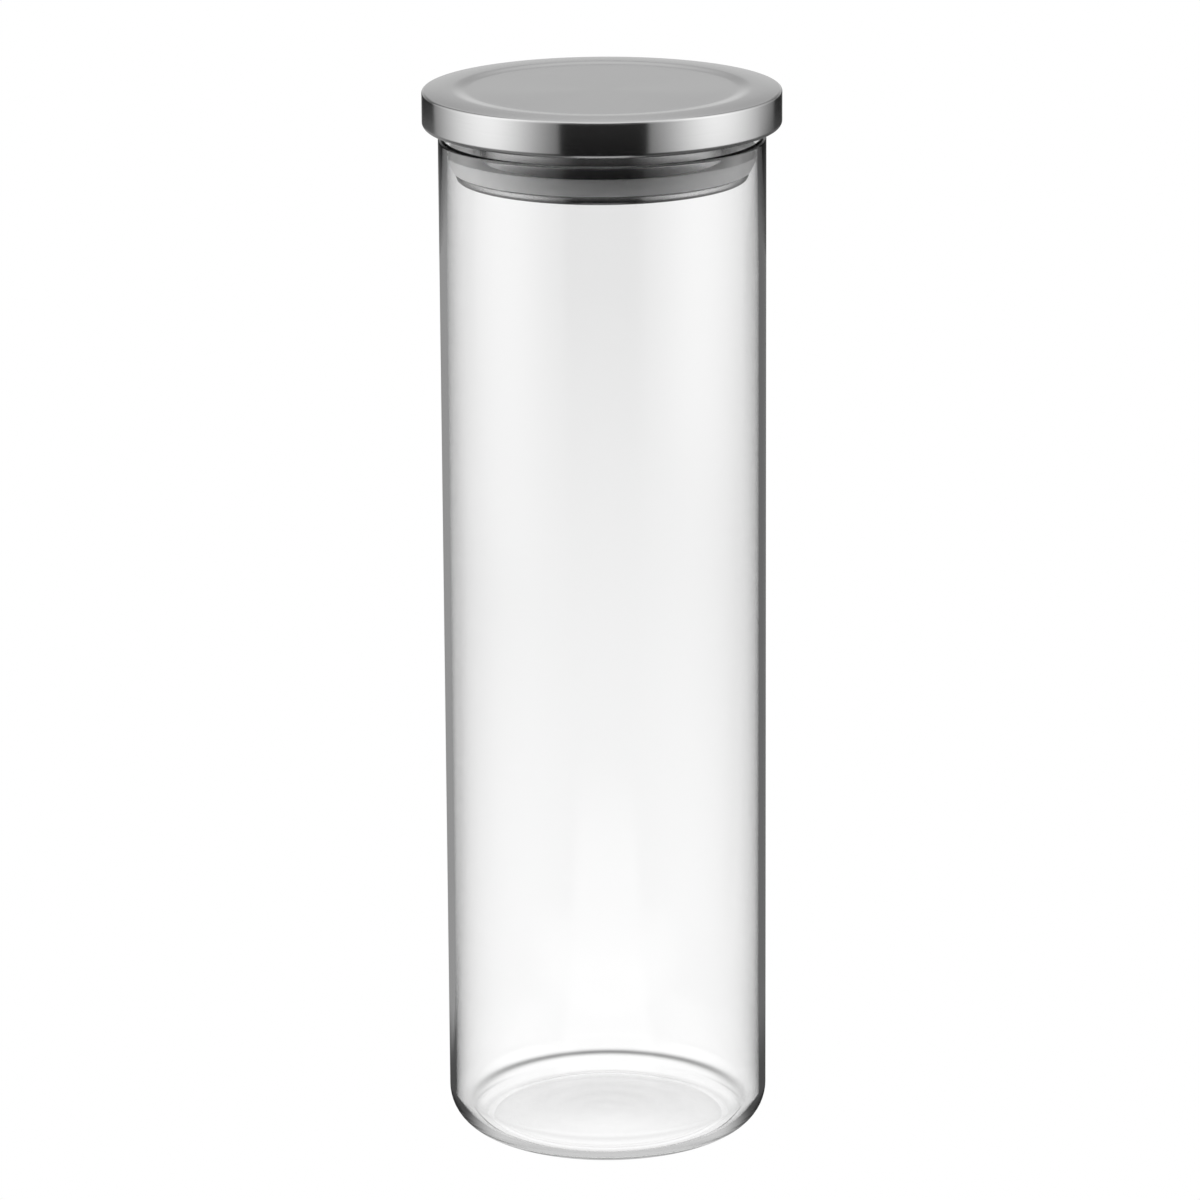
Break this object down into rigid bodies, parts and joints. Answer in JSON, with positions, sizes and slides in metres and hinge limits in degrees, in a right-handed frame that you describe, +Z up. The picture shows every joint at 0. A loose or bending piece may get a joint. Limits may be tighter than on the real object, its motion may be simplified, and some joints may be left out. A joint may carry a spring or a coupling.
{
  "type": "lidded glass canister",
  "caption": "Tall round clear glass storage canister with a brushed steel lid that plugs into its mouth on a soft silicone lip seal.",
  "frame": {"origin": "centre of the foot, on the surface that the jar stands on", "axes": "+Z up along the axis of the jar; the object is round, so X and Y are free"},
  "size_m": [0.1, 0.1, 0.3022],
  "materials": {
    "clear_glass": "clear fire-polished borosilicate glass",
    "cap_steel": "stainless steel brushed in circles, satin",
    "plug_steel": "drawn stainless steel, finely brushed round the wall",
    "seal_silicone": "milky translucent silicone, smooth satin"
  },
  "bodies": {
    "jar": {"glass_jar": "clear_glass"},
    "lid": {"lid_cap": "cap_steel", "lid_neck": "plug_steel", "lid_base": "plug_steel", "seal_ring": "seal_silicone"}
  },
  "joints": [
    {"name": "lid_lift", "type": "slide", "parent": "jar", "child": "lid", "axis": [0, 0, 1], "range_m": [0, 0.12]}
  ]
}
